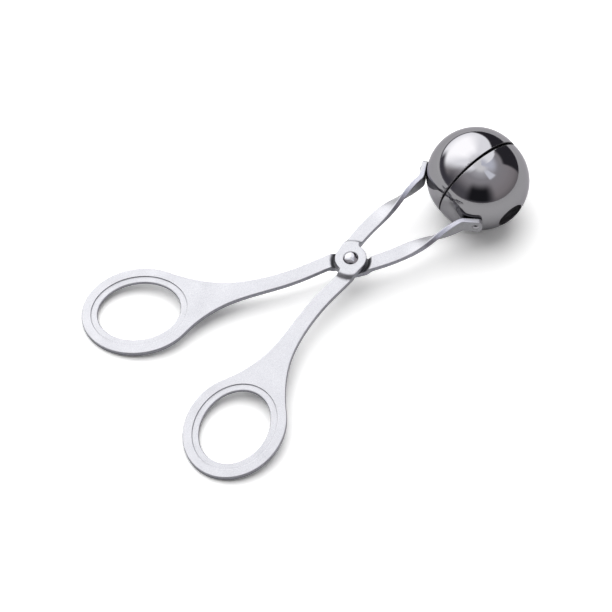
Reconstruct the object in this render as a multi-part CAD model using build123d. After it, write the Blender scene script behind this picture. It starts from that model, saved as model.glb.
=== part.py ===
from build123d import *
import os
from math import asin, atan2, cos, degrees, hypot, radians, sin, sqrt, tan

# Meatball tongs: two flat stainless arms, crossed like scissors and riveted at a
# joggled half-lap, each carrying one half of a hollow ball that portions the meat.
# Millimetres and degrees. An arm is drawn with the tongs shut and flat: the pivot
# axis is Z, +X runs to the ball and -X to the finger rings. The arm drawn is the
# top one, with its ring at -Y. The bottom one is the same pressing turned over.

# Finger rings
ring_reach = 90.1           # pivot to ring centre, along X
ring_spread = 36.3          # middle of the tongs to ring centre
hole_length = 37.3          # oval finger hole, long axis
hole_width = 29.6           # oval finger hole, short axis
hole_tilt = 27.7            # long axis of the hole against X
ring_band = 7.1             # metal round the hole
recess_width = 3.0          # stepped band round the hole
recess_depth = 0.4

# Arms, pressed from one flat blank
strip_thickness = 2.5
strip_width = 6.7
edge_round = 0.35           # tumbled edges
pivot_slant = 11.5          # outer edge of the handle against X, at the pivot
fork_slant = 23.0           # outer edge of the forward arm against X, at the pivot
neck_fillet = 1.5           # inner corner between strip and boss
twist_start = 19.5          # forward arm flat up to here, along X
twist_start_side = 10.1
twist_start_slant = 10.8
edge_slant = 6.5            # forward arm against X where it stands on its edge
edge_run = 1.6              # straight run from the twist to the bend corner

# Joggled boss that lets the arms cross
boss_radius = 7.1
shoulder_top_radius = 8.2
shoulder_foot_radius = 11.1

# Pivot
pivot_pin_diameter = 4.0
pivot_pin_clearance = 0.05  # radial, in both arms and the washer
pivot_head_diameter = 6.9
pivot_head_height = 1.5
pivot_tail_diameter = 6.4
pivot_tail_height = 1.1
washer_diameter = 13.4
washer_thickness = 1.1
arm_play = 0.1              # running gap between washer and top arm
head_play = 0.05            # running gap under the rivet head

# Ball of two cups
ball_reach = 71.3           # pivot to ball centre
cup_diameter = 45.0         # outside
cup_wall = 0.7
cup_skirt = 0.85            # straight rim past the half sphere
rim_round = 0.2
drain_diameter = 13.0
ball_roll = 8.8             # turn of the ball about X
ball_yaw = 2.7              # turn of the ball about Z

# Tab that carries each cup
tab_lean = 48.5             # seat on the ball, from -X round to the side
tab_width = 7.2             # strip is a little wider where it stands on its edge
tab_before = 6.2            # bend corner to rivet
tab_after = 3.0             # rivet to tab end
tab_bend_radius = 1.5       # inside of the bend
tab_corner = 2.0
cup_rivet_diameter = 2.2
cup_rivet_clearance = 0.03  # radial, set tight when clinched
cup_rivet_head_diameter = 3.4
cup_rivet_head_height = 0.8
cup_rivet_foot_height = 0.4

# Lie of the part: the arms stand this far open, and the ball and rings rest on a table
rest_opening = 1.0

# Blank between ring and boss, chosen by eye at stations from the boss outwards: along
# the shank, across the rings' spread, and widening as a share of half the ring's width
SHANK_REACH_SHARES = (0.186, 0.311, 0.465, 0.651, 0.806, 0.930)
SHANK_SPREAD_SHARES = (0.173, 0.216, 0.289, 0.413, 0.541, 0.668)
SHANK_FLARE_SHARES = (0.0, 0.003, 0.012, 0.033, 0.101, 0.240)
inner_leave = 44.0          # where the inner edge leaves the ring's oval
outer_leave = -53.0         # where the outer edge leaves the ring's oval
twist_angle = 90.0
twist_stations = 11
corner_angle = 20.0         # faces that turn more than this meet at a corner

# Worked out
strip_half = strip_width / 2
sheet_half = strip_thickness / 2
boss_gap = washer_thickness + arm_play
boss_offset = sheet_half + boss_gap / 2
bore_diameter = pivot_pin_diameter + 2 * pivot_pin_clearance
ring_half_length = hole_length / 2 + ring_band
ring_half_width = hole_width / 2 + ring_band
shank_reach = ring_reach - ring_half_length
ball_radius = cup_diameter / 2
ball_side = cup_skirt * cos(radians(ball_yaw)) * cos(radians(ball_roll))
ball_rise = cup_skirt * cos(radians(ball_yaw)) * sin(radians(ball_roll))
arm_length = ring_reach + ring_half_length + ball_reach
ring_place = Pos(-ring_reach, -ring_spread) * Rot(0, 0, hole_tilt)


def slanted(angle):
    """Directions along and across a line at this angle to X."""
    turn = radians(angle)
    return Vector(cos(turn), sin(turn)), Vector(-sin(turn), cos(turn))


def oval_point(turn):
    """Point on the ring's outer oval, in the plane of the arms."""
    angle = radians(turn)
    point = Vector(ring_half_length * cos(angle), ring_half_width * sin(angle))
    return point.rotate(Axis.Z, hole_tilt) + Vector(-ring_reach, -ring_spread)


def oval_tangent(turn):
    """Direction of the oval at that point, anticlockwise."""
    angle = radians(turn)
    direction = Vector(-ring_half_length * sin(angle), ring_half_width * cos(angle))
    return direction.rotate(Axis.Z, hole_tilt).normalized()


def shank_edge(side):
    """Points of one edge of the shank from boss to ring: side 1 is the inner edge."""
    points = []
    stations = zip(SHANK_REACH_SHARES, SHANK_SPREAD_SHARES, SHANK_FLARE_SHARES)
    for reach_share, spread_share, flare_share in stations:
        half = strip_half + flare_share * ring_half_width
        points.append((-reach_share * shank_reach, -spread_share * ring_spread + side * half))
    return points


def boss_root(ahead, across):
    """Point inside the boss where the inner edge of a strip ends."""
    return across * (boss_radius - strip_width) + ahead * (boss_radius - neck_fillet)


def handle_outline():
    """Ring and shank, with the outer edge running off the boss at a tangent."""
    ahead, across = slanted(pivot_slant)
    seat = -across * boss_radius
    root = -boss_root(ahead, across)
    outer_tangents = (-ahead, -oval_tangent(outer_leave))
    outer = Spline(seat, *shank_edge(-1), oval_point(outer_leave), tangents=outer_tangents)
    inner_tangents = (-oval_tangent(inner_leave), ahead)
    inner = Spline(oval_point(inner_leave), *reversed(shank_edge(1)), root, tangents=inner_tangents)
    neck = Polyline(root, (0, 0), seat)
    close = Line(outer @ 1, inner @ 0)
    ring = Pos(-ring_reach, -ring_spread) * Ellipse(ring_half_length, ring_half_width, hole_tilt)
    return ring + make_face(Curve() + [outer, close, inner, neck])


def tab_normal():
    """Direction out of the ball through the tab."""
    lean = radians(tab_lean)
    return Vector(-cos(lean), sin(lean))


def tab_direction():
    return Vector(sin(radians(tab_lean)), cos(radians(tab_lean)))


def tab_seat():
    """Point where the tab touches the ball."""
    return Vector(ball_reach, ball_side) + tab_normal() * ball_radius


def tab_middle():
    """Point of the tab's middle plane on the rivet's axis."""
    return tab_seat() + tab_normal() * sheet_half


def tab_corner_point():
    """Corner of the middle line, where the forward arm bends into the tab."""
    return tab_middle() - tab_direction() * tab_before


def twist_end_point():
    """End of the twist, just before that corner."""
    return tab_corner_point() - slanted(edge_slant)[0] * edge_run


def fork_outline():
    """Flat length of the forward arm, from the boss to the start of the twist."""
    ahead, across = slanted(fork_slant)
    run, side = slanted(twist_start_slant)
    start = Vector(twist_start, twist_start_side)
    seat = across * boss_radius
    root = boss_root(ahead, across)
    outer = Spline(seat, start + side * strip_half, tangents=(ahead, run))
    end = Line(outer @ 1, start - side * strip_half)
    inner = Spline(end @ 1, root, tangents=(-run, -ahead))
    neck = Polyline(root, (0, 0), seat)
    return make_face(Curve() + [outer, end, inner, neck])


def blank_outline():
    """Outline of the flat part of an arm, with rounded inner corners at the boss."""
    outline = handle_outline() + fork_outline() + Circle(boss_radius)
    corners = outline.vertices().filter_by(is_neck_corner)
    return fillet(corners, neck_fillet)


def is_neck_corner(vertex):
    """True where an inner edge meets the boss: on its rim, nearer the X axis than the Y axis."""
    on_rim = abs(hypot(vertex.X, vertex.Y) - boss_radius) < edge_round
    return on_rim and abs(vertex.Y) < abs(vertex.X)


def joggle_body():
    """Sheet that is raised round the pivot and drops to the base level all round."""
    rise, half = boss_offset, sheet_half
    steepness = atan2(2 * rise, shoulder_foot_radius - shoulder_top_radius)
    inset = strip_thickness * tan(steepness / 2)
    top = joggle_edge(shoulder_top_radius, shoulder_foot_radius, rise + half, half)
    under = joggle_edge(shoulder_top_radius - inset, shoulder_foot_radius - inset, rise - half, -half)
    profile = [
        Line((0, rise + half), top @ 0), top, Line(top @ 1, (arm_length, half)),
        Line((arm_length, half), (arm_length, -half)), Line((arm_length, -half), under @ 1),
        under, Line(under @ 0, (0, rise - half)), Line((0, rise - half), (0, rise + half)),
    ]
    return revolve(Plane.XZ * make_face(Curve() + profile), Axis.Z)


def joggle_edge(top_radius, foot_radius, top_height, foot_height):
    middle = (top_radius + foot_radius) / 2
    return Bezier(
        (top_radius, top_height), (middle, top_height), (middle, foot_height), (foot_radius, foot_height)
    )


def blank():
    """Flat part of an arm: outline, joggle, and finger hole with its stepped band."""
    reach = boss_offset + strip_thickness
    body = Pos(0, 0, -reach) * extrude(blank_outline(), 2 * reach) & joggle_body()
    body -= ring_place * oval_plug(0, strip_thickness)
    for middle in (sheet_half, -sheet_half):
        body -= ring_place * Pos(0, 0, middle) * oval_plug(recess_width, 2 * recess_depth)
    joint_face = body.faces().sort_by_distance((twist_start, twist_start_side, 0))[0]
    steps = body.faces().filter_by(is_step)
    body = fillet(sharp_edges(body, [joint_face, *steps]), edge_round)
    return body - Cylinder(bore_diameter / 2, 2 * reach)


def is_step(face):
    """True for the low wall round the band at the finger hole."""
    return abs(face.bounding_box().size.Z - recess_depth) < recess_depth / 2


def oval_plug(margin, height):
    """Plug the shape of the finger hole, wider by the margin, centred on its middle."""
    oval = Ellipse(hole_length / 2 + margin, hole_width / 2 + margin)
    return Pos(0, 0, -height / 2) * extrude(oval, height)


def twist():
    """Length of the forward arm that turns from flat to standing on its edge."""
    start = Vector(twist_start, twist_start_side)
    tangents = (slanted(twist_start_slant)[0], slanted(edge_slant)[0])
    line = Spline(start, twist_end_point(), tangents=tangents)
    sections = []
    for station in range(twist_stations):
        share = station / (twist_stations - 1)
        width = strip_width + (tab_width - strip_width) * share
        turn = radians(twist_angle) * (3 * share ** 2 - 2 * share ** 3)
        run = line % share
        across = Vector(-run.Y, run.X)
        edge = across * cos(turn) - Vector(0, 0, 1) * sin(turn)
        section = Plane(line @ share, x_dir=edge, z_dir=run)
        sections.append(section * RectangleRounded(width, strip_thickness, edge_round))
    return loft(sections)


def tab():
    """End of the forward arm, standing on its edge and bent on to the ball."""
    start = twist_end_point()
    end = tab_middle() + tab_direction() * tab_after
    line = FilletPolyline(start, tab_corner_point(), end, radius=tab_bend_radius + sheet_half)
    body = Pos(0, 0, -tab_width / 2) * extrude(trace(line, strip_thickness), tab_width)
    end_face = body.faces().sort_by_distance(end)[0]
    corners = end_face.edges().filter_by(Axis.Z, reverse=True)
    body = fillet(corners, tab_corner)
    joint_face = body.faces().sort_by_distance(start)[0]
    body = fillet(sharp_edges(body, [joint_face]), edge_round)
    return body - tab_rivet_place() * Cylinder(cup_rivet_diameter / 2 + cup_rivet_clearance, ball_radius)


def tab_rivet_place():
    """Frame at the seat on the ball, level with its middle, with Z out through the tab."""
    seat = tab_seat() + Vector(0, 0, ball_rise)
    return Plane(seat, x_dir=(0, 0, 1), z_dir=tab_normal()).location


def arm():
    """One whole arm, as pressed, twisted and bent."""
    return blank() + twist() + tab()


def ball_place(side):
    """Frame at the middle of a cup, with Z out through its drain hole.

    Side 1 is the top cup. The bottom one, -1, leans the other way in the drawn arm, so
    that the two rims lie parallel when the tongs are shut.
    """
    roll, yaw = radians(ball_roll), side * radians(ball_yaw)
    pole = (-sin(yaw), cos(yaw) * cos(roll), cos(yaw) * sin(roll))
    return Plane((ball_reach, ball_side, ball_rise), x_dir=(1, 0, 0), z_dir=pole).location


def cup(side):
    """Half of the ball: spun shell with a short straight rim and a drain hole at its pole."""
    inside = ball_radius - cup_wall
    hole = drain_diameter / 2
    outer = CenterArc((0, 0), ball_radius, 0, degrees(atan2(sqrt(ball_radius ** 2 - hole ** 2), hole)))
    inner = CenterArc((0, 0), inside, 0, degrees(atan2(sqrt(inside ** 2 - hole ** 2), hole)))
    profile = [
        outer, Line(outer @ 1, inner @ 1), inner,
        Polyline(inner @ 0, (inside, -cup_skirt), (ball_radius, -cup_skirt), outer @ 0),
    ]
    shell = revolve(Plane.XZ * make_face(Curve() + profile), Axis.Z)
    rim = shell.edges().filter_by(lambda edge: abs(edge.center().Z + cup_skirt) < rim_round)
    shell = fillet(rim, rim_round)
    bore = tab_rivet_place() * Cylinder(cup_rivet_diameter / 2 + cup_rivet_clearance, ball_radius)
    return ball_place(side) * shell - bore


def dome(diameter, height):
    """Low domed cap standing on the XY plane."""
    radius = (diameter ** 2 / 4 + height ** 2) / (2 * height)
    return Pos(0, 0, height - radius) * Sphere(radius) & Cylinder(
        diameter / 2, height, align=(Align.CENTER, Align.CENTER, Align.MIN)
    )


def cup_rivet():
    """Rivet through tab and cup: domed head outside, low foot clinched inside the cup."""
    length = strip_thickness + cup_wall + cup_rivet_foot_height
    shank = Pos(0, 0, -cup_wall - cup_rivet_foot_height) * Cylinder(
        cup_rivet_diameter / 2, length, align=(Align.CENTER, Align.CENTER, Align.MIN)
    )
    head = Pos(0, 0, strip_thickness) * dome(cup_rivet_head_diameter, cup_rivet_head_height)
    foot = Pos(0, 0, -cup_wall - cup_rivet_foot_height) * Cylinder(
        cup_rivet_head_diameter / 2, 2 * cup_rivet_foot_height, align=(Align.CENTER, Align.CENTER, Align.MIN)
    )
    foot &= Pos(0, 0, -ball_radius) * Sphere(ball_radius - cup_wall - cup_rivet_clearance)
    return tab_rivet_place() * (shank + head + foot)


def pivot_rivet():
    """Rivet with a polished domed head over the top arm and a clinched tail below."""
    foot = -boss_offset - sheet_half
    seat = boss_offset + sheet_half + head_play
    shank = Pos(0, 0, foot) * Cylinder(
        pivot_pin_diameter / 2, seat - foot, align=(Align.CENTER, Align.CENTER, Align.MIN)
    )
    head = Pos(0, 0, seat) * dome(pivot_head_diameter, pivot_head_height)
    tail = Pos(0, 0, foot) * Rot(180, 0, 0) * dome(pivot_tail_diameter, pivot_tail_height)
    return shank + head + tail


def pivot_washer():
    """Flat washer lying on the bottom arm's boss."""
    ring = Circle(washer_diameter / 2) - Circle(bore_diameter / 2)
    return Pos(0, 0, sheet_half - boss_offset) * extrude(ring, washer_thickness)


def sharp_edges(part, kept_faces):
    """Edges where two faces meet at a real corner, apart from those round the kept faces."""
    chosen = []
    kept = [edge for face in kept_faces for edge in face.edges()]
    faces = part.faces()
    for edge in part.edges():
        if any(edge.is_same(other) for other in kept):
            continue
        sides = [face for face in faces if any(edge.is_same(other) for other in face.edges())]
        middle = edge @ 0.5
        if len(sides) == 2 and sides[0].normal_at(middle).get_angle(sides[1].normal_at(middle)) > corner_angle:
            chosen.append(edge)
    return chosen


def lie_angle():
    """Nose-up tilt at which the ball and the ends of both rings touch the table."""
    turn = radians(hole_tilt + rest_opening / 2)
    swing = radians(rest_opening / 2)
    middle = -ring_reach * cos(swing) + ring_spread * sin(swing)
    ring_end = middle - hypot(ring_half_length * cos(turn), ring_half_width * sin(turn))
    ball_middle = ball_reach * cos(swing) - ball_side * sin(swing)
    along = ball_middle - ring_end - edge_round
    down = sheet_half - edge_round - ball_rise
    return degrees(asin((ball_radius - edge_round) / hypot(along, down)) - atan2(down, along))


def assembled():
    """Every piece by name, open at rest and lying on the table, still about the pivot."""
    swing = Rot(0, 0, rest_opening / 2)
    turned = Rot(180, 0, 0) * swing
    lie = Rot(0, -lie_angle(), 0)
    one_arm, one_rivet = arm(), cup_rivet()
    return {
        "top_arm": lie * swing * one_arm,
        "top_cup": lie * swing * cup(1),
        "top_cup_rivet": lie * swing * one_rivet,
        "bottom_arm": lie * turned * one_arm,
        "bottom_cup": lie * turned * cup(-1),
        "bottom_cup_rivet": lie * turned * one_rivet,
        "pivot_rivet": lie * pivot_rivet(),
        "pivot_washer": lie * pivot_washer(),
    }


def main():
    pieces = assembled()
    box = Compound(list(pieces.values())).bounding_box()
    home = Pos(-box.center().X, -box.center().Y, -box.min.Z)
    os.makedirs("parts", exist_ok=True)
    for name, piece in pieces.items():
        export_step(home * piece, "parts/" + name + ".step")
    print("lie angle", round(lie_angle(), 4), "pivot", home.position, "size", box.size)


if __name__ == "__main__":
    main()
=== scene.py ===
"""Meatball tongs: finishes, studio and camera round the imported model."""

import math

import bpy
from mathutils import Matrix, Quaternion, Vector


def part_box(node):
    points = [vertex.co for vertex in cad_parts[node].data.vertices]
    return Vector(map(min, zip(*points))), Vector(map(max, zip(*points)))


bl_info = {
    "name": "Meatball Tongs Finish",
    "version": (1, 0, 0),
    "blender": (4, 5, 0),
    "location": "3D View > Sidebar > Tongs",
    "description": "Gives steel meatball tongs their finishes and lays them in a small studio",
    "category": "Object",
}

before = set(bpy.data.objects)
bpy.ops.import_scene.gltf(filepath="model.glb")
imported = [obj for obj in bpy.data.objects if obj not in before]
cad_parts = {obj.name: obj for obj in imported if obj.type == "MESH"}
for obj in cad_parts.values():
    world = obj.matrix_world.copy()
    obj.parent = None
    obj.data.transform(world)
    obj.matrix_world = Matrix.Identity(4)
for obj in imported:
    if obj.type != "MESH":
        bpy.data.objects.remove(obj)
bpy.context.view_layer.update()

MM = 0.001
PANEL_CATEGORY = "Tongs"
WHITE = "#FFFFFF"
ARMS = ("top_arm", "bottom_arm")
CUPS = ("top_cup", "bottom_cup")
RIVETS = ("pivot_rivet", "pivot_washer", "top_cup_rivet", "bottom_cup_rivet")

# Second finishes: a probe starts under the skin of a face, behind a cut edge the metal is
# at least this deep, and a cup's rim is the faces centred up to this far above the lowest
SKIN = 0.02 * MM
EDGE_DEPTH = 4.0 * MM
# The rim takes the darker inside finish, which partly paints the shade in the gap between the cups
RIM_WIDTH = 0.45 * MM

# How far painted shade reaches out of a crease of an arm, from under a rivet head and into a
# cup, where nearby steel hides it from the light, and how wide tumbling rounds an edge
CREASE_SHADE_REACH = 2.5 * MM
HEAD_SHADE_REACH = 0.8 * MM
CUP_SHADE_REACH = 25 * MM
EDGE_WEAR = 0.4 * MM

# Sizes of the marks on the steel, in millimetres: cloudy patches of the blasting, smears of
# the polish, lines of the press cut, rings of the spinning lathe, which lie about a third of
# this apart, and marks of the tumbling
CLOUD_MM = 9.0
HAZE_MM = 14.0
CUT_LINE_MM = 0.3
LATHE_UNIT_MM = 6.0
TUMBLE_MARK_MM = 0.9

# How far the lines of the cut are drawn out through the sheet: their scale upwards, as a
# share of that along it
CUT_STRETCH = 0.15

# Depth of those marks: grain and cut lines, then rings and tumbling marks
FINE_DEPTH = 0.02 * MM
COARSE_DEPTH = 0.03 * MM

# Roughness of the cut edges and of the inside of the cups, and its range on the rivets
EDGE_ROUGHNESS = 0.3
INSIDE_ROUGHNESS = 0.42
RIVET_ROUGHNESS = (0.06, 0.14)

# Stage, in metres: radius of table and dome, the ring over which the paper fades into the
# white behind, the softbox's size and distance, and the near and far limit of the camera
TABLE_REACH = 3.0
TABLE_FADE = (0.35, 1.2)
KEY_SIZE = (3.4, 3.0)
KEY_REACH = 2.0
CAMERA_CLIP = (0.05, 20.0)

# Width of the camera's sensor in millimetres, and the facets of the round stage pieces
SENSOR_MM = 36
ROUND_STEPS = 96
DOME_RINGS = 32

# The paper's own white, and what the camera sees on top of it
PAPER_WHITE = 0.93
PAPER_TO_CAMERA = 0.35

# Azimuths of the room start and end here, in degrees
AZIMUTH_START = -90
AZIMUTH_END = 270

# Glow of the plain walls, from the table (0) to straight up (1)
WALL_SHADES = (
    (0.0, "#8E8A8C"),
    (0.15, "#AEA8AA"),
    (0.35, "#BAB5B8"),
    (0.62, "#BEBCC0"),
    (0.8, "#EEEEF2"),
)

# Softbox, ceiling and cards round the table, with later ones over earlier ones. Azimuth from
# +Y towards +X and elevation are two limits and the widths over which their edges fade, in
# degrees. Lean is how far the left and the right side shift in azimuth per degree of height.
SURROUND_CARDS = (
    # Ceiling
    {"azimuth": (-200, 380, 1, 1), "elevation": (75, 100, 12, 1), "lean": (0, 0),
     "shade": "#FFFFFF", "glow": 1.4},
    # Bright haze that reaches down from the ceiling, at the back and to the right
    {"azimuth": (40, 150, 50, 60), "elevation": (60, 100, 20, 10), "lean": (0, 0),
     "shade": "#F0F3FF", "glow": 1.2},
    # Narrow light to the right
    {"azimuth": (132, 160, 10, 8), "elevation": (52, 76, 6, 14), "lean": (0.43, 0.43),
     "shade": "#F4F7FF", "glow": 1.4},
    # Grey walls, behind the camera and to the left
    {"azimuth": (188, 300, 28, 4), "elevation": (1, 32, 2, 36), "lean": (0, 0),
     "shade": "#6C6A70", "glow": 1.0},
    {"azimuth": (-120, -60, 4, 26), "elevation": (1, 32, 2, 36), "lean": (0, 0),
     "shade": "#6C6A70", "glow": 1.0},
    # Dark flag behind the camera
    {"azimuth": (192, 246, 26, 20), "elevation": (3, 40, 8, 24), "lean": (0, 0),
     "shade": "#28282C", "glow": 1.0},
    # Softbox at the back, and its brighter middle
    {"azimuth": (-24, 31, 30, 6), "elevation": (2, 76, 9, 16), "lean": (-0.85, 0.95),
     "shade": "#FCFDFF", "glow": 1.8},
    {"azimuth": (-32, 34, 34, 30), "elevation": (12, 70, 32, 30), "lean": (0, 0),
     "shade": "#FFFFFE", "glow": 2.55},
    # Low dark band to the left, and the dark line between table and wall
    {"azimuth": (-80, -14, 16, 18), "elevation": (0, 15, 1, 12), "lean": (0, 0),
     "shade": "#58565E", "glow": 1.0},
    {"azimuth": (-80, 36, 10, 6), "elevation": (-2, 3, 1, 3), "lean": (0, 0),
     "shade": "#6A6870", "glow": 1.0},
    # Black flag that leans beside the softbox
    {"azimuth": (32, 110, 5, 6), "elevation": (-2, 42, 1, 9), "lean": (0.95, 0),
     "shade": "#3C3A40", "glow": 1.0},
)


# Colour and node helpers

def linear_channel(value):
    """One sRGB channel from 0 to 1, made linear."""
    return value / 12.92 if value <= 0.04045 else ((value + 0.055) / 1.055) ** 2.4


def as_button(text):
    """A hex colour as the sRGB tuple that a colour button holds."""
    return tuple(int(text[i:i + 2], 16) / 255 for i in (1, 3, 5))


def as_hex(rgb):
    """A colour button's sRGB value as a hex string."""
    return "#" + "".join(f"{round(255 * part):02X}" for part in rgb)


def colour(text):
    """An sRGB hex colour as a linear RGBA tuple."""
    return (*[linear_channel(part) for part in as_button(text)], 1.0)


def new_tree(material):
    """An empty node tree for a material or world, with its name kept."""
    material.use_nodes = True
    material.node_tree.nodes.clear()
    return material.node_tree


def add_node(tree, kind, settings=None, values=None, links=None, stops=()):
    """A node with its settings, its socket values and the sockets that feed it.

    The stops of a colour ramp go up from one place to the next, each with a grey level or
    a hex colour.
    """
    node = tree.nodes.new(kind)
    for name, value in (settings or {}).items():
        setattr(node, name, value)
    for name, value in (values or {}).items():
        node.inputs[name].default_value = value
    for name, source in (links or {}).items():
        tree.links.new(source, node.inputs[name])
    for index, (place, shade) in enumerate(stops):
        elements = node.color_ramp.elements
        element = elements[index] if index < len(elements) else elements.new(place)
        element.position = place
        element.color = colour(shade) if isinstance(shade, str) else (shade, shade, shade, 1.0)
    return node


def toned(tree, base, tones):
    """A base colour multiplied by each of these tones, one after the other."""
    shade = None
    for tone in tones:
        values, links = {"Factor": 1.0}, {"B": tone}
        if shade is None:
            values["A"] = base
        else:
            links["A"] = shade
        shade = add_node(
            tree, "ShaderNodeMix", settings={"data_type": "RGBA", "blend_type": "MULTIPLY"},
            values=values, links=links,
        ).outputs["Result"]
    return shade


def crease_shade(tree, reach, darkest):
    """Painted shade: grey that is white on open faces and falls to the darkest level in folds
    and gaps.

    It darkens the steel where nearby pieces hide it from the light.
    """
    open_sky = add_node(
        tree, "ShaderNodeAmbientOcclusion", settings={"samples": 8}, values={"Distance": reach},
    ).outputs["AO"]
    return add_node(
        tree, "ShaderNodeValToRGB", links={"Fac": open_sky}, stops=[(0.25, darkest), (0.85, 1.0)],
    ).outputs["Color"]


def worn_edges_and_highlight(tree):
    """Normals that turn softly over each edge, and grey levels that are higher along it.

    Tumbling rounds the edges; the higher grey levels along them are painted highlight of those
    rounded edges, and partly the rubbing of tumbling.
    """
    rounded = add_node(
        tree, "ShaderNodeBevel", settings={"samples": 8}, values={"Radius": EDGE_WEAR},
    ).outputs["Normal"]
    flat = add_node(tree, "ShaderNodeNewGeometry").outputs["True Normal"]
    alike = add_node(
        tree, "ShaderNodeVectorMath", settings={"operation": "DOT_PRODUCT"},
        links={0: rounded, 1: flat},
    ).outputs["Value"]
    wear_and_highlight = add_node(
        tree, "ShaderNodeMapRange",
        values={"From Min": 0.99, "From Max": 0.9, "To Min": 1.0, "To Max": 1.35},
        links={"Value": alike},
    ).outputs["Result"]
    return rounded, wear_and_highlight


def per_mm(size_mm):
    """Texture scale, in cycles per metre, whose features are about this size."""
    return 1 / (size_mm * MM)


# Sizes and colours that a user would change

class TongsFinish(bpy.types.PropertyGroup):
    """Finishes of the steel."""

    arm_colour: bpy.props.FloatVectorProperty(
        name="Arm Colour", description="Colour of the bead-blasted arms", subtype="COLOR_GAMMA",
        size=3, min=0, max=1, default=as_button("#A2A2A6"),
    )
    arm_roughness: bpy.props.FloatProperty(
        name="Arm Roughness", description="Roughness left by the bead blasting",
        subtype="FACTOR", min=0, max=1, default=0.46,
    )
    arm_grain: bpy.props.FloatProperty(
        name="Bead Grain", description="Size of the marks of the blasting beads, in millimetres",
        min=0.05, max=2, default=0.28,
    )
    cup_colour: bpy.props.FloatVectorProperty(
        name="Cup Colour", description="Colour of the mirror-polished cups", subtype="COLOR_GAMMA",
        size=3, min=0, max=1, default=as_button("#8F8E91"),
    )
    cup_roughness: bpy.props.FloatProperty(
        name="Cup Roughness", description="Roughness of the mirror polish",
        subtype="FACTOR", min=0, max=1, default=0.035,
    )
    # Darker than the arms, partly as the cut edge's own finish and partly as painted shade of the side
    # walls
    edge_and_shade_colour: bpy.props.FloatVectorProperty(
        name="Edge Colour", description="Colour of the cut edges of the arms", subtype="COLOR_GAMMA",
        size=3, min=0, max=1, default=as_button("#8C8C94"),
    )
    inside_colour: bpy.props.FloatVectorProperty(
        name="Inside Colour", description="Colour inside the cups and on their rims",
        subtype="COLOR_GAMMA", size=3, min=0, max=1, default=as_button("#6E6C70"),
    )
    rivet_colour: bpy.props.FloatVectorProperty(
        name="Rivet Colour", description="Colour of the rivets and the washer", subtype="COLOR_GAMMA",
        size=3, min=0, max=1, default=as_button("#9A999D"),
    )


class TongsStudio(bpy.types.PropertyGroup):
    """Camera, table and lights."""

    camera_azimuth: bpy.props.FloatProperty(
        name="Camera Azimuth", description="Turn of the camera about the object, 0 looks along +Y",
        subtype="ANGLE", default=math.radians(-37.89),
    )
    camera_elevation: bpy.props.FloatProperty(
        name="Camera Elevation", description="Height of the camera above the horizon",
        subtype="ANGLE", default=math.radians(55.16),
    )
    camera_roll: bpy.props.FloatProperty(
        name="Camera Roll", description="Turn of the camera about its line of sight",
        subtype="ANGLE", default=math.radians(2.61),
    )
    camera_distance: bpy.props.FloatProperty(
        name="Camera Distance", description="From the lens to the point aimed at",
        unit="LENGTH", default=1.3545,
    )
    camera_aim: bpy.props.FloatVectorProperty(
        name="Camera Aim", description="Point on the table that the camera looks at",
        subtype="TRANSLATION", unit="LENGTH", size=3, default=(-0.0142, -0.0003, 0.0),
    )
    camera_lens: bpy.props.FloatProperty(
        name="Lens", description="Focal length on a 36 mm sensor, in millimetres", default=177.9,
    )
    softbox_azimuth: bpy.props.FloatProperty(
        name="Softbox Azimuth", description="Direction of the softbox from +Y towards +X",
        subtype="ANGLE", default=math.radians(6),
    )
    softbox_elevation: bpy.props.FloatProperty(
        name="Softbox Elevation", description="Height of the softbox above the horizon",
        subtype="ANGLE", default=math.radians(62),
    )
    key_power: bpy.props.FloatProperty(
        name="Key Power", description="Power of the key light", unit="POWER", default=66.0,
    )
    fill_strength: bpy.props.FloatProperty(
        name="Fill Strength", description="Even light from all round", default=0.34,
    )
    room_strength: bpy.props.FloatProperty(
        name="Room Strength", description="Strength of the room that the steel reflects", default=1.4,
    )


# Finishes

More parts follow.
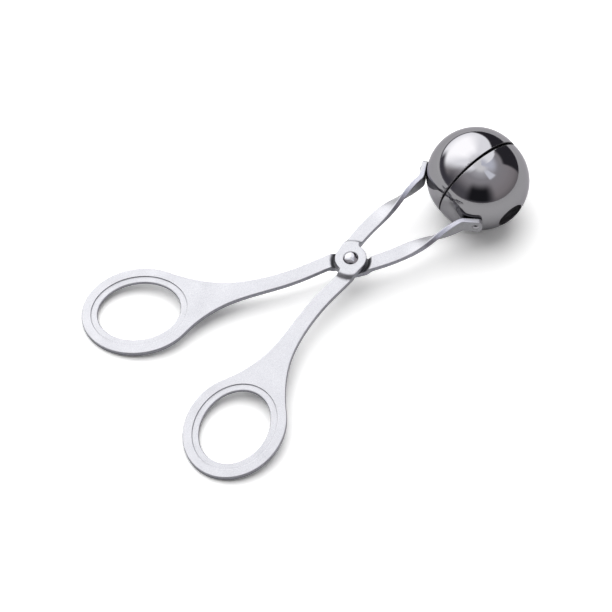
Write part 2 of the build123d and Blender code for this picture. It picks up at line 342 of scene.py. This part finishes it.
def satin_blasted_stainless(finish):
    """Stainless sheet, stamped, tumbled and bead blasted.

    It is pale and even from afar. Close up it has a fine grain that breaks the light,
    faint cloudy patches where the beads struck harder, and smoother edges, brighter by
    painted highlight and partly by rubbing. Painted shade darkens it in folds and gaps.
    """
    material = bpy.data.materials.new("satin_blasted_stainless")
    tree = new_tree(material)
    place = add_node(tree, "ShaderNodeTexCoord").outputs["Object"]
    grain = add_node(
        tree, "ShaderNodeTexNoise",
        values={"Scale": per_mm(finish.arm_grain), "Detail": 3.0, "Roughness": 0.6},
        links={"Vector": place},
    ).outputs["Fac"]
    clouds = add_node(
        tree, "ShaderNodeTexNoise",
        values={"Scale": per_mm(CLOUD_MM), "Detail": 4.0, "Roughness": 0.55}, links={"Vector": place},
    ).outputs["Fac"]
    pits = add_node(
        tree, "ShaderNodeValToRGB", links={"Fac": grain}, stops=[(0.3, 0.78), (0.7, 1.15)],
    ).outputs["Color"]
    patches = add_node(
        tree, "ShaderNodeValToRGB", links={"Fac": clouds}, stops=[(0.35, 0.92), (0.65, 1.0)],
    ).outputs["Color"]
    rounded, wear_and_highlight = worn_edges_and_highlight(tree)
    # Grain and patches are the steel's own; the crease tone is painted shade in folds and gaps, and
    # the edge tone is painted highlight along the edges, partly rubbing
    shade = toned(
        tree, colour(as_hex(finish.arm_colour)), (pits, patches, crease_shade(tree, CREASE_SHADE_REACH, 0.25), wear_and_highlight),
    )
    rough = add_node(
        tree, "ShaderNodeMapRange",
        values={"From Min": 0.3, "From Max": 0.7, "To Min": finish.arm_roughness - 0.05,
                "To Max": finish.arm_roughness + 0.08},
        links={"Value": clouds},
    )
    bump = add_node(
        tree, "ShaderNodeBump", values={"Strength": 0.35, "Distance": FINE_DEPTH},
        links={"Height": grain, "Normal": rounded},
    )
    steel = add_node(
        tree, "ShaderNodeBsdfPrincipled", values={"Metallic": 1.0},
        links={"Base Color": shade, "Roughness": rough.outputs["Result"],
               "Normal": bump.outputs["Normal"]},
    )
    add_node(tree, "ShaderNodeOutputMaterial", links={"Surface": steel.outputs["BSDF"]})
    return material


def mirror_polished_stainless(finish):
    """Stainless cup, spun and polished to a mirror.

    It shows the studio sharply, a little darkened, with faint hazy smears of the polish.
    """
    material = bpy.data.materials.new("mirror_polished_stainless")
    tree = new_tree(material)
    place = add_node(tree, "ShaderNodeTexCoord").outputs["Object"]
    haze = add_node(
        tree, "ShaderNodeTexNoise",
        values={"Scale": per_mm(HAZE_MM), "Detail": 5.0, "Roughness": 0.6, "Distortion": 0.6},
        links={"Vector": place},
    ).outputs["Fac"]
    rough = add_node(
        tree, "ShaderNodeMapRange",
        values={"From Min": 0.35, "From Max": 0.75, "To Min": finish.cup_roughness,
                "To Max": finish.cup_roughness + 0.05},
        links={"Value": haze},
    )
    steel = add_node(
        tree, "ShaderNodeBsdfPrincipled",
        values={"Metallic": 1.0, "Base Color": colour(as_hex(finish.cup_colour)),
                "Specular Tint": colour("#DCDADE")},
        links={"Roughness": rough.outputs["Result"]},
    )
    add_node(tree, "ShaderNodeOutputMaterial", links={"Surface": steel.outputs["BSDF"]})
    return material


def sheared_edge_and_shade(finish):
    """Cut edge of the stamped sheet, tumbled but not blasted.

    It is darker than the faces, partly as the cut's own finish and partly as painted shade of
    side walls that face the shadowed table. It is drawn across by the fine upright lines of the cut.
    """
    material = bpy.data.materials.new("sheared_edge_and_shade")
    tree = new_tree(material)
    place = add_node(tree, "ShaderNodeTexCoord").outputs["Object"]
    stretch = add_node(
        tree, "ShaderNodeMapping", values={"Scale": (1, 1, CUT_STRETCH)}, links={"Vector": place},
    )
    lines = add_node(
        tree, "ShaderNodeTexNoise",
        values={"Scale": per_mm(CUT_LINE_MM), "Detail": 3.0, "Roughness": 0.6},
        links={"Vector": stretch.outputs["Vector"]},
    ).outputs["Fac"]
    streaks = add_node(
        tree, "ShaderNodeValToRGB", links={"Fac": lines}, stops=[(0.3, 0.7), (0.7, 1.25)],
    ).outputs["Color"]
    rounded, wear_and_highlight = worn_edges_and_highlight(tree)
    # The streaks are the cut's own; the crease tone is painted shade in folds and gaps, and the edge
    # tone is painted highlight along the edges, partly rubbing
    shade = toned(
        tree, colour(as_hex(finish.edge_and_shade_colour)), (streaks, crease_shade(tree, CREASE_SHADE_REACH, 0.2), wear_and_highlight),
    )
    bump = add_node(
        tree, "ShaderNodeBump", values={"Strength": 0.3, "Distance": FINE_DEPTH},
        links={"Height": lines, "Normal": rounded},
    )
    steel = add_node(
        tree, "ShaderNodeBsdfPrincipled", values={"Metallic": 1.0, "Roughness": EDGE_ROUGHNESS},
        links={"Base Color": shade, "Normal": bump.outputs["Normal"]},
    )
    add_node(tree, "ShaderNodeOutputMaterial", links={"Surface": steel.outputs["BSDF"]})
    return material


def satin_spun_stainless(finish):
    """Inside of a cup, as it comes off the spinning lathe, and its turned rim.

    It is dull and darker than the polish outside, with fine rings left by the tool. Painted
    shade darkens the hollow of the cup and the rim in the seam between the cups.
    """
    material = bpy.data.materials.new("satin_spun_stainless")
    tree = new_tree(material)
    place = add_node(tree, "ShaderNodeTexCoord").outputs["Object"]
    rings = add_node(
        tree, "ShaderNodeTexWave", settings={"bands_direction": "Y"},
        values={"Scale": per_mm(LATHE_UNIT_MM), "Distortion": 1.5, "Detail": 3.0, "Detail Scale": 2.0},
        links={"Vector": place},
    ).outputs["Fac"]
    bands = add_node(
        tree, "ShaderNodeValToRGB", links={"Fac": rings}, stops=[(0.0, 0.8), (1.0, 1.2)],
    ).outputs["Color"]
    # The hollow tone is painted shade inside the cup and in the seam between the cups
    shade = toned(
        tree, colour(as_hex(finish.inside_colour)), (bands, crease_shade(tree, CUP_SHADE_REACH, 0.3)),
    )
    bump = add_node(
        tree, "ShaderNodeBump", values={"Strength": 0.4, "Distance": COARSE_DEPTH},
        links={"Height": rings},
    )
    steel = add_node(
        tree, "ShaderNodeBsdfPrincipled", values={"Metallic": 1.0, "Roughness": INSIDE_ROUGHNESS},
        links={"Base Color": shade, "Normal": bump.outputs["Normal"]},
    )
    add_node(tree, "ShaderNodeOutputMaterial", links={"Surface": steel.outputs["BSDF"]})
    return material


def polished_rivet_steel(finish):
    """Stainless rivet wire, cold headed and tumbled bright, with painted shade where it sits close to
    other pieces.
    """
    material = bpy.data.materials.new("polished_rivet_steel")
    tree = new_tree(material)
    place = add_node(tree, "ShaderNodeTexCoord").outputs["Object"]
    marks = add_node(
        tree, "ShaderNodeTexNoise",
        values={"Scale": per_mm(TUMBLE_MARK_MM), "Detail": 3.0, "Roughness": 0.5},
        links={"Vector": place},
    ).outputs["Fac"]
    rough = add_node(
        tree, "ShaderNodeMapRange",
        values={"From Min": 0.3, "From Max": 0.7, "To Min": RIVET_ROUGHNESS[0],
                "To Max": RIVET_ROUGHNESS[1]},
        links={"Value": marks},
    )
    bump = add_node(
        tree, "ShaderNodeBump", values={"Strength": 0.15, "Distance": COARSE_DEPTH},
        links={"Height": marks},
    )
    # Painted shade where the heads and the washer sit close to the arms
    head_shade = crease_shade(tree, HEAD_SHADE_REACH, 0.15)
    shade = toned(tree, colour(as_hex(finish.rivet_colour)), (head_shade,))
    steel = add_node(
        tree, "ShaderNodeBsdfPrincipled", values={"Metallic": 1.0},
        links={"Base Color": shade, "Roughness": rough.outputs["Result"],
               "Normal": bump.outputs["Normal"]},
    )
    add_node(tree, "ShaderNodeOutputMaterial", links={"Surface": steel.outputs["BSDF"]})
    return material


def shown_rays(tree):
    """1 for rays from the camera, a reflection or a see-through piece, 0 for light bounces."""
    path = add_node(tree, "ShaderNodeLightPath")
    seen = add_node(
        tree, "ShaderNodeMath", settings={"operation": "MAXIMUM"},
        links={0: path.outputs["Is Camera Ray"], 1: path.outputs["Is Glossy Ray"]},
    )
    return add_node(
        tree, "ShaderNodeMath", settings={"operation": "MAXIMUM"},
        links={0: seen.outputs["Value"], 1: path.outputs["Is Transmission Ray"]},
    ).outputs["Value"]


# Studio

def direction(azimuth, elevation):
    """Unit vector at this turn from +Y towards +X and this height above the horizon."""
    flat = math.cos(elevation)
    return Vector((math.sin(azimuth) * flat, math.cos(azimuth) * flat, math.sin(elevation)))


def studio_mesh(name, verts, faces, material):
    """A stage object from plain mesh data, with one material."""
    mesh = bpy.data.meshes.new(name)
    mesh.from_pydata(verts, [], faces)
    mesh.materials.append(material)
    thing = bpy.data.objects.new(name, mesh)
    bpy.context.scene.collection.objects.link(thing)
    return thing


def only_in_reflections(thing):
    """Steel reflects the piece, and it neither shows itself nor takes any light away."""
    thing.visible_camera = False
    thing.visible_diffuse = False
    thing.visible_shadow = False
    thing.visible_volume_scatter = False


def edge_mask(tree, value, limit, soft, sign):
    """1 on one side of an angle in degrees and 0 on the other, fading over a width."""
    half = math.radians(soft) / 2
    middle = math.radians(limit)
    return add_node(
        tree, "ShaderNodeMapRange", settings={"interpolation_type": "SMOOTHSTEP"},
        values={"From Min": middle - half, "From Max": middle + half, "To Min": (1 - sign) / 2,
                "To Max": (1 + sign) / 2},
        links={"Value": value},
    ).outputs["Result"]


def card_mask(tree, azimuth, elevation, card):
    """1 where a direction meets this card of the room, and 0 elsewhere."""
    mask = None
    left, right, left_soft, right_soft = card["azimuth"]
    low, high, low_soft, high_soft = card["elevation"]
    sides = [(left, left_soft, 1, card["lean"][0]), (right, right_soft, -1, card["lean"][1])]
    edges = [
        edge_mask(tree, elevation, low, low_soft, 1),
        edge_mask(tree, elevation, high, high_soft, -1),
    ]
    for limit, soft, sign, lean in sides:
        across = add_node(
            tree, "ShaderNodeMath", settings={"operation": "MULTIPLY_ADD"}, values={1: -lean},
            links={0: elevation, 2: azimuth},
        ).outputs["Value"]
        edges.append(edge_mask(tree, across, limit, soft, sign))
    for edge in edges:
        mask = edge if mask is None else add_node(
            tree, "ShaderNodeMath", settings={"operation": "MULTIPLY"}, links={0: mask, 1: edge},
        ).outputs["Value"]
    return mask


def studio_surround(strength):
    """Glow of the room that polished steel shows: softbox, black flags, grey walls, ceiling."""
    material = bpy.data.materials.new("studio_surround")
    tree = new_tree(material)
    place = add_node(tree, "ShaderNodeTexCoord").outputs["Object"]
    ray = add_node(
        tree, "ShaderNodeVectorMath", settings={"operation": "NORMALIZE"}, links={0: place},
    )
    axes = add_node(tree, "ShaderNodeSeparateXYZ", links={"Vector": ray.outputs["Vector"]})
    turn = add_node(
        tree, "ShaderNodeMath", settings={"operation": "ARCTAN2"},
        links={0: axes.outputs["X"], 1: axes.outputs["Y"]},
    )
    azimuth = add_node(
        tree, "ShaderNodeMath", settings={"operation": "WRAP"},
        values={1: math.radians(AZIMUTH_END), 2: math.radians(AZIMUTH_START)},
        links={0: turn.outputs["Value"]},
    ).outputs["Value"]
    elevation = add_node(
        tree, "ShaderNodeMath", settings={"operation": "ARCSINE"}, links={0: axes.outputs["Z"]},
    ).outputs["Value"]
    height = add_node(
        tree, "ShaderNodeMath", settings={"operation": "MULTIPLY"}, values={1: 2 / math.pi},
        links={0: elevation},
    ).outputs["Value"]
    glow = add_node(
        tree, "ShaderNodeValToRGB", links={"Fac": height}, stops=WALL_SHADES,
    ).outputs["Color"]
    for card in SURROUND_CARDS:
        red, green, blue, alpha = colour(card["shade"])
        bright = (red * card["glow"], green * card["glow"], blue * card["glow"], alpha)
        glow = add_node(
            tree, "ShaderNodeMix", settings={"data_type": "RGBA"}, values={"B": bright},
            links={"Factor": card_mask(tree, azimuth, elevation, card), "A": glow},
        ).outputs["Result"]
    light = add_node(tree, "ShaderNodeEmission", values={"Strength": strength}, links={"Color": glow})
    add_node(tree, "ShaderNodeOutputMaterial", links={"Surface": light.outputs["Emission"]})
    return material


def paper_table():
    """Matt white paper sweep: white to the eye, and it keeps the soft shadow of the tongs.

    The camera sees it whiter than the steel does, so the lamps stay at a plain level. Away
    from the tongs it passes into the white behind, so that low views show no edge.
    """
    material = bpy.data.materials.new("white_paper_sweep")
    tree = new_tree(material)
    level = add_node(
        tree, "ShaderNodeMath", settings={"operation": "MULTIPLY_ADD"},
        values={1: PAPER_TO_CAMERA, 2: PAPER_WHITE},
        links={0: add_node(tree, "ShaderNodeLightPath").outputs["Is Camera Ray"]},
    )
    paper = add_node(tree, "ShaderNodeBsdfDiffuse", links={"Color": level.outputs["Value"]})
    place = add_node(tree, "ShaderNodeTexCoord").outputs["Object"]
    away = add_node(tree, "ShaderNodeVectorMath", settings={"operation": "LENGTH"}, links={0: place})
    fade = add_node(
        tree, "ShaderNodeMapRange", settings={"interpolation_type": "SMOOTHSTEP"},
        values={"From Min": TABLE_FADE[0], "From Max": TABLE_FADE[1]},
        links={"Value": away.outputs["Value"]},
    )
    far = add_node(
        tree, "ShaderNodeMath", settings={"operation": "MULTIPLY"},
        links={0: fade.outputs["Result"], 1: shown_rays(tree)},
    )
    plain = add_node(tree, "ShaderNodeEmission", values={"Color": colour(WHITE), "Strength": 1.0})
    both = add_node(
        tree, "ShaderNodeMixShader",
        links={0: far.outputs["Value"], 1: paper.outputs["BSDF"], 2: plain.outputs["Emission"]},
    )
    add_node(tree, "ShaderNodeOutputMaterial", links={"Surface": both.outputs["Shader"]})
    return material


def panel_frame(azimuth, elevation, reach):
    """Place of a flat card that faces the tongs from this direction."""
    away = direction(azimuth, elevation)
    return Matrix.Translation(away * reach) @ away.to_track_quat("Z", "Y").to_matrix().to_4x4()


def surround_dome(studio):
    """Dome over the table that carries the glow of the room."""
    verts = [(0, 0, TABLE_REACH)]
    faces = []
    for ring in range(1, DOME_RINGS + 1):
        height = math.pi / 2 * (1 - ring / DOME_RINGS)
        verts += [
            direction(2 * math.pi * i / ROUND_STEPS, height) * TABLE_REACH for i in range(ROUND_STEPS)
        ]
    for i in range(ROUND_STEPS):
        j = (i + 1) % ROUND_STEPS
        faces.append((0, 1 + i, 1 + j))
        for ring in range(DOME_RINGS - 1):
            first = 1 + ring * ROUND_STEPS
            below = first + ROUND_STEPS
            faces.append((first + i, below + i, below + j, first + j))
    dome = studio_mesh("studio_dome", verts, faces, studio_surround(studio.room_strength))
    only_in_reflections(dome)


# Which faces get a second finish

def cut_edges(node):
    """Faces of an arm that the press cut: the metal behind them is far deeper than the sheet."""
    chosen = set()
    for face in node.data.polygons:
        start = face.center - face.normal * SKIN
        hit, place, normal, index = node.ray_cast(start, -face.normal, distance=EDGE_DEPTH)
        if not hit:
            chosen.add(face.index)
    return chosen


def cup_inside(node):
    """Faces inside a cup, and the rim where the two cups meet."""
    low, high = cups_box()
    middle = (low + high) / 2
    faces = node.data.polygons
    # This pole leans about half a degree from the cup's own axis, so the satin rim comes out
    # uneven, and toothed where it crosses the tall faces of the rim's straight outside
    pole = sum(((face.center - middle) * face.area for face in faces), Vector()).normalized()
    rim = min((face.center - middle) @ pole for face in faces) + RIM_WIDTH
    chosen = set()
    for face in faces:
        out = face.center - middle
        if out @ face.normal < 0 or out @ pole < rim:
            chosen.add(face.index)
    return chosen


def cups_box():
    """Box round both cups at rest, as vectors."""
    boxes = [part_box(name) for name in CUPS]
    low = Vector([min(box[0][i] for box in boxes) for i in range(3)])
    high = Vector([max(box[1][i] for box in boxes) for i in range(3)])
    return low, high


def dress(names, material, second=None, chosen_faces=None):
    """Gives these nodes a material, and a second finish on some faces."""
    for name in names:
        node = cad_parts[name]
        node.data.materials.clear()
        node.data.materials.append(material)
        if second is not None:
            node.data.materials.append(second)
            for index in chosen_faces(node):
                node.data.polygons[index].material_index = 1


# Operators

class TONGS_OT_arms(bpy.types.Operator):
    """Bead-blasted steel on both arms, and cut edges darkened partly by painted shade"""

    bl_idname = "tongs.arms"
    bl_label = "Finish Arms"

    def execute(self, context):
        finish = context.scene.tongs_finish
        steel, edge = satin_blasted_stainless(finish), sheared_edge_and_shade(finish)
        dress(ARMS, steel, edge, cut_edges)
        return {"FINISHED"}


class TONGS_OT_cups(bpy.types.Operator):
    """Mirror polish on the two cups of the ball, dull inside"""

    bl_idname = "tongs.cups"
    bl_label = "Finish Cups"

    def execute(self, context):
        finish = context.scene.tongs_finish
        steel, inside = mirror_polished_stainless(finish), satin_spun_stainless(finish)
        dress(CUPS, steel, inside, cup_inside)
        return {"FINISHED"}


class TONGS_OT_rivets(bpy.types.Operator):
    """Bright steel on the rivets and the washer"""

    bl_idname = "tongs.rivets"
    bl_label = "Finish Rivets"

    def execute(self, context):
        steel = polished_rivet_steel(context.scene.tongs_finish)
        dress(RIVETS, steel)
        return {"FINISHED"}


class TONGS_OT_stage(bpy.types.Operator):
    """White table, soft studio light and the camera"""

    bl_idname = "tongs.stage"
    bl_label = "Set The Stage"

    def execute(self, context):
        studio = context.scene.tongs_studio
        make_table()
        surround_dome(studio)
        make_lights(studio)
        make_world(context.scene, studio)
        make_camera(context.scene, studio)
        context.scene.view_settings.view_transform = "Standard"
        return {"FINISHED"}


def make_table():
    """Round white table top, far larger than the tongs."""
    turns = [2 * math.pi * i / ROUND_STEPS for i in range(ROUND_STEPS)]
    rim = [(TABLE_REACH * math.cos(turn), TABLE_REACH * math.sin(turn), 0) for turn in turns]
    studio_mesh("table", rim, [tuple(range(ROUND_STEPS))], paper_table())


def make_lights(studio):
    """One large soft key light, from where the softbox stands."""
    data = bpy.data.lights.new("key", "AREA")
    data.shape = "RECTANGLE"
    data.size, data.size_y = KEY_SIZE
    data.energy = studio.key_power
    key = bpy.data.objects.new("key", data)
    bpy.context.scene.collection.objects.link(key)
    key.matrix_world = panel_frame(studio.softbox_azimuth, studio.softbox_elevation, KEY_REACH)
    key.visible_glossy = False


def make_world(scene, studio):
    """Even fill light, and white behind the table for every view."""
    world = bpy.data.worlds.new("studio")
    scene.world = world
    tree = new_tree(world)
    fill = add_node(
        tree, "ShaderNodeBackground",
        values={"Color": colour(WHITE), "Strength": studio.fill_strength},
    )
    white = add_node(tree, "ShaderNodeBackground", values={"Color": colour(WHITE), "Strength": 1.0})
    both = add_node(
        tree, "ShaderNodeMixShader",
        links={0: shown_rays(tree), 1: fill.outputs["Background"], 2: white.outputs["Background"]},
    )
    add_node(tree, "ShaderNodeOutputWorld", links={"Surface": both.outputs["Shader"]})


def make_camera(scene, studio):
    """Camera at the photograph's viewing angle."""
    azimuth, elevation = studio.camera_azimuth, studio.camera_elevation
    flat = math.cos(elevation)
    back = Vector((math.sin(azimuth) * flat, -math.cos(azimuth) * flat, math.sin(elevation)))
    data = bpy.data.cameras.new("camera")
    data.lens = studio.camera_lens
    data.sensor_width = SENSOR_MM
    camera = bpy.data.objects.new("camera", data)
    scene.collection.objects.link(camera)
    camera.rotation_mode = "QUATERNION"
    camera.location = Vector(studio.camera_aim) + back * studio.camera_distance
    roll = Quaternion((0, 0, 1), studio.camera_roll)
    camera.rotation_quaternion = (-back).to_track_quat("-Z", "Y") @ roll
    data.clip_start, data.clip_end = CAMERA_CLIP
    scene.camera = camera


class TONGS_PT_panel(bpy.types.Panel):
    """Finishes and studio of the tongs"""

    bl_idname = "TONGS_PT_panel"
    bl_label = "Meatball Tongs"
    bl_space_type = "VIEW_3D"
    bl_region_type = "UI"
    bl_category = PANEL_CATEGORY

    def draw(self, context):
        layout = self.layout
        for group in (context.scene.tongs_finish, context.scene.tongs_studio):
            box = layout.box()
            for name in group.__annotations__:
                box.prop(group, name)
        for operator in OPERATORS:
            layout.operator(operator.bl_idname)


OPERATORS = (TONGS_OT_arms, TONGS_OT_cups, TONGS_OT_rivets, TONGS_OT_stage)
CLASSES = (TongsFinish, TongsStudio, *OPERATORS, TONGS_PT_panel)


def register():
    for cls in CLASSES:
        bpy.utils.register_class(cls)
    bpy.types.Scene.tongs_finish = bpy.props.PointerProperty(type=TongsFinish)
    bpy.types.Scene.tongs_studio = bpy.props.PointerProperty(type=TongsStudio)


def unregister():
    del bpy.types.Scene.tongs_studio
    del bpy.types.Scene.tongs_finish
    for cls in reversed(CLASSES):
        bpy.utils.unregister_class(cls)


def main():
    register()
    bpy.ops.tongs.arms()
    bpy.ops.tongs.cups()
    bpy.ops.tongs.rivets()
    bpy.ops.tongs.stage()


if __name__ == "__main__":
    main()
